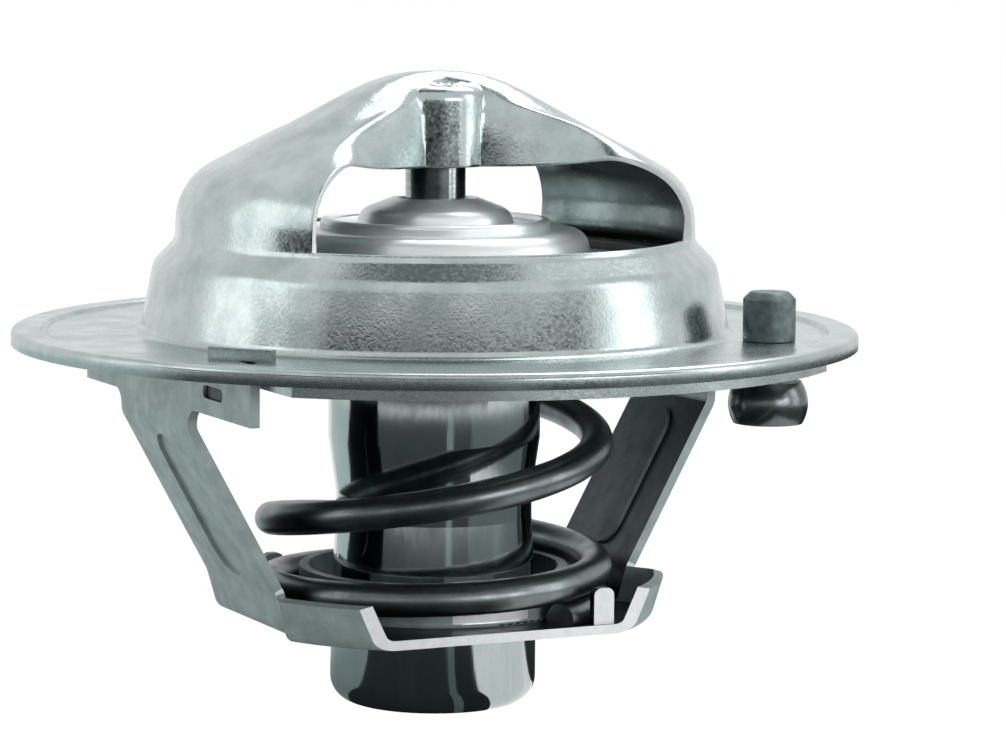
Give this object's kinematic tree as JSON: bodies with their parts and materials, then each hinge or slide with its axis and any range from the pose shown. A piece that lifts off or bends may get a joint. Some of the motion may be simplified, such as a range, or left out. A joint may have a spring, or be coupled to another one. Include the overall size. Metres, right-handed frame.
{
  "type": "engine coolant thermostat",
  "caption": "Wax-driven coolant thermostat: round flange, windowed dome bridge, sprung valve disc, wax capsule in a folded frame, and a loose air-bleed pin.",
  "frame": {"origin": "on the axis of the wax capsule, at the seating face under the flange (underside of the support ring)", "axes": "+Z along the axis towards the crown of the dome; X through the two straps and the two legs; the windows face -Y and +Y"},
  "size_m": [0.054, 0.054, 0.0405],
  "materials": {
    "pressed_steel": "satin stainless sheet",
    "frame_steel": "satin sheet with bright cut edges",
    "ground_steel": "ground",
    "polished_cup": "polished",
    "guide_metal": "turned and burnished",
    "spring_steel": "dark drawn wire",
    "dark_metal": "dark, slightly glossy",
    "rubber": "moulded",
    "wax": "wax with copper powder",
    "grease": "grease",
    "white_plastic": "plain"
  },
  "bodies": {
    "body": {"bridge_housing": "pressed_steel", "support_ring": "pressed_steel", "spring_frame": "frame_steel", "piston": "ground_steel", "rubber_plunger": "rubber", "backing_disc": "white_plastic", "main_spring": "spring_steel"},
    "valve": {"wax_cup": "polished_cup", "wax_charge": "wax", "diaphragm": "rubber", "grease_charge": "grease", "guide_body": "guide_metal", "piston_wiper": "rubber", "valve_disc": "pressed_steel", "valve_seal": "rubber", "lock_ring": "pressed_steel"},
    "bleed": {"bleed_pin": "dark_metal", "bleed_plug": "dark_metal"}
  },
  "joints": [
    {"name": "valve_slide", "type": "slide", "parent": "body", "child": "valve", "axis": [0, 0, -1], "range_m": [0, 0.008], "stiffness_N_per_m": 6000, "springref_m": -0.008, "deforming": ["main_spring"]},
    {"name": "bleed_slide", "type": "slide", "parent": "body", "child": "bleed", "axis": [0, 0, 1], "range_m": [0, 0.001]}
  ]
}
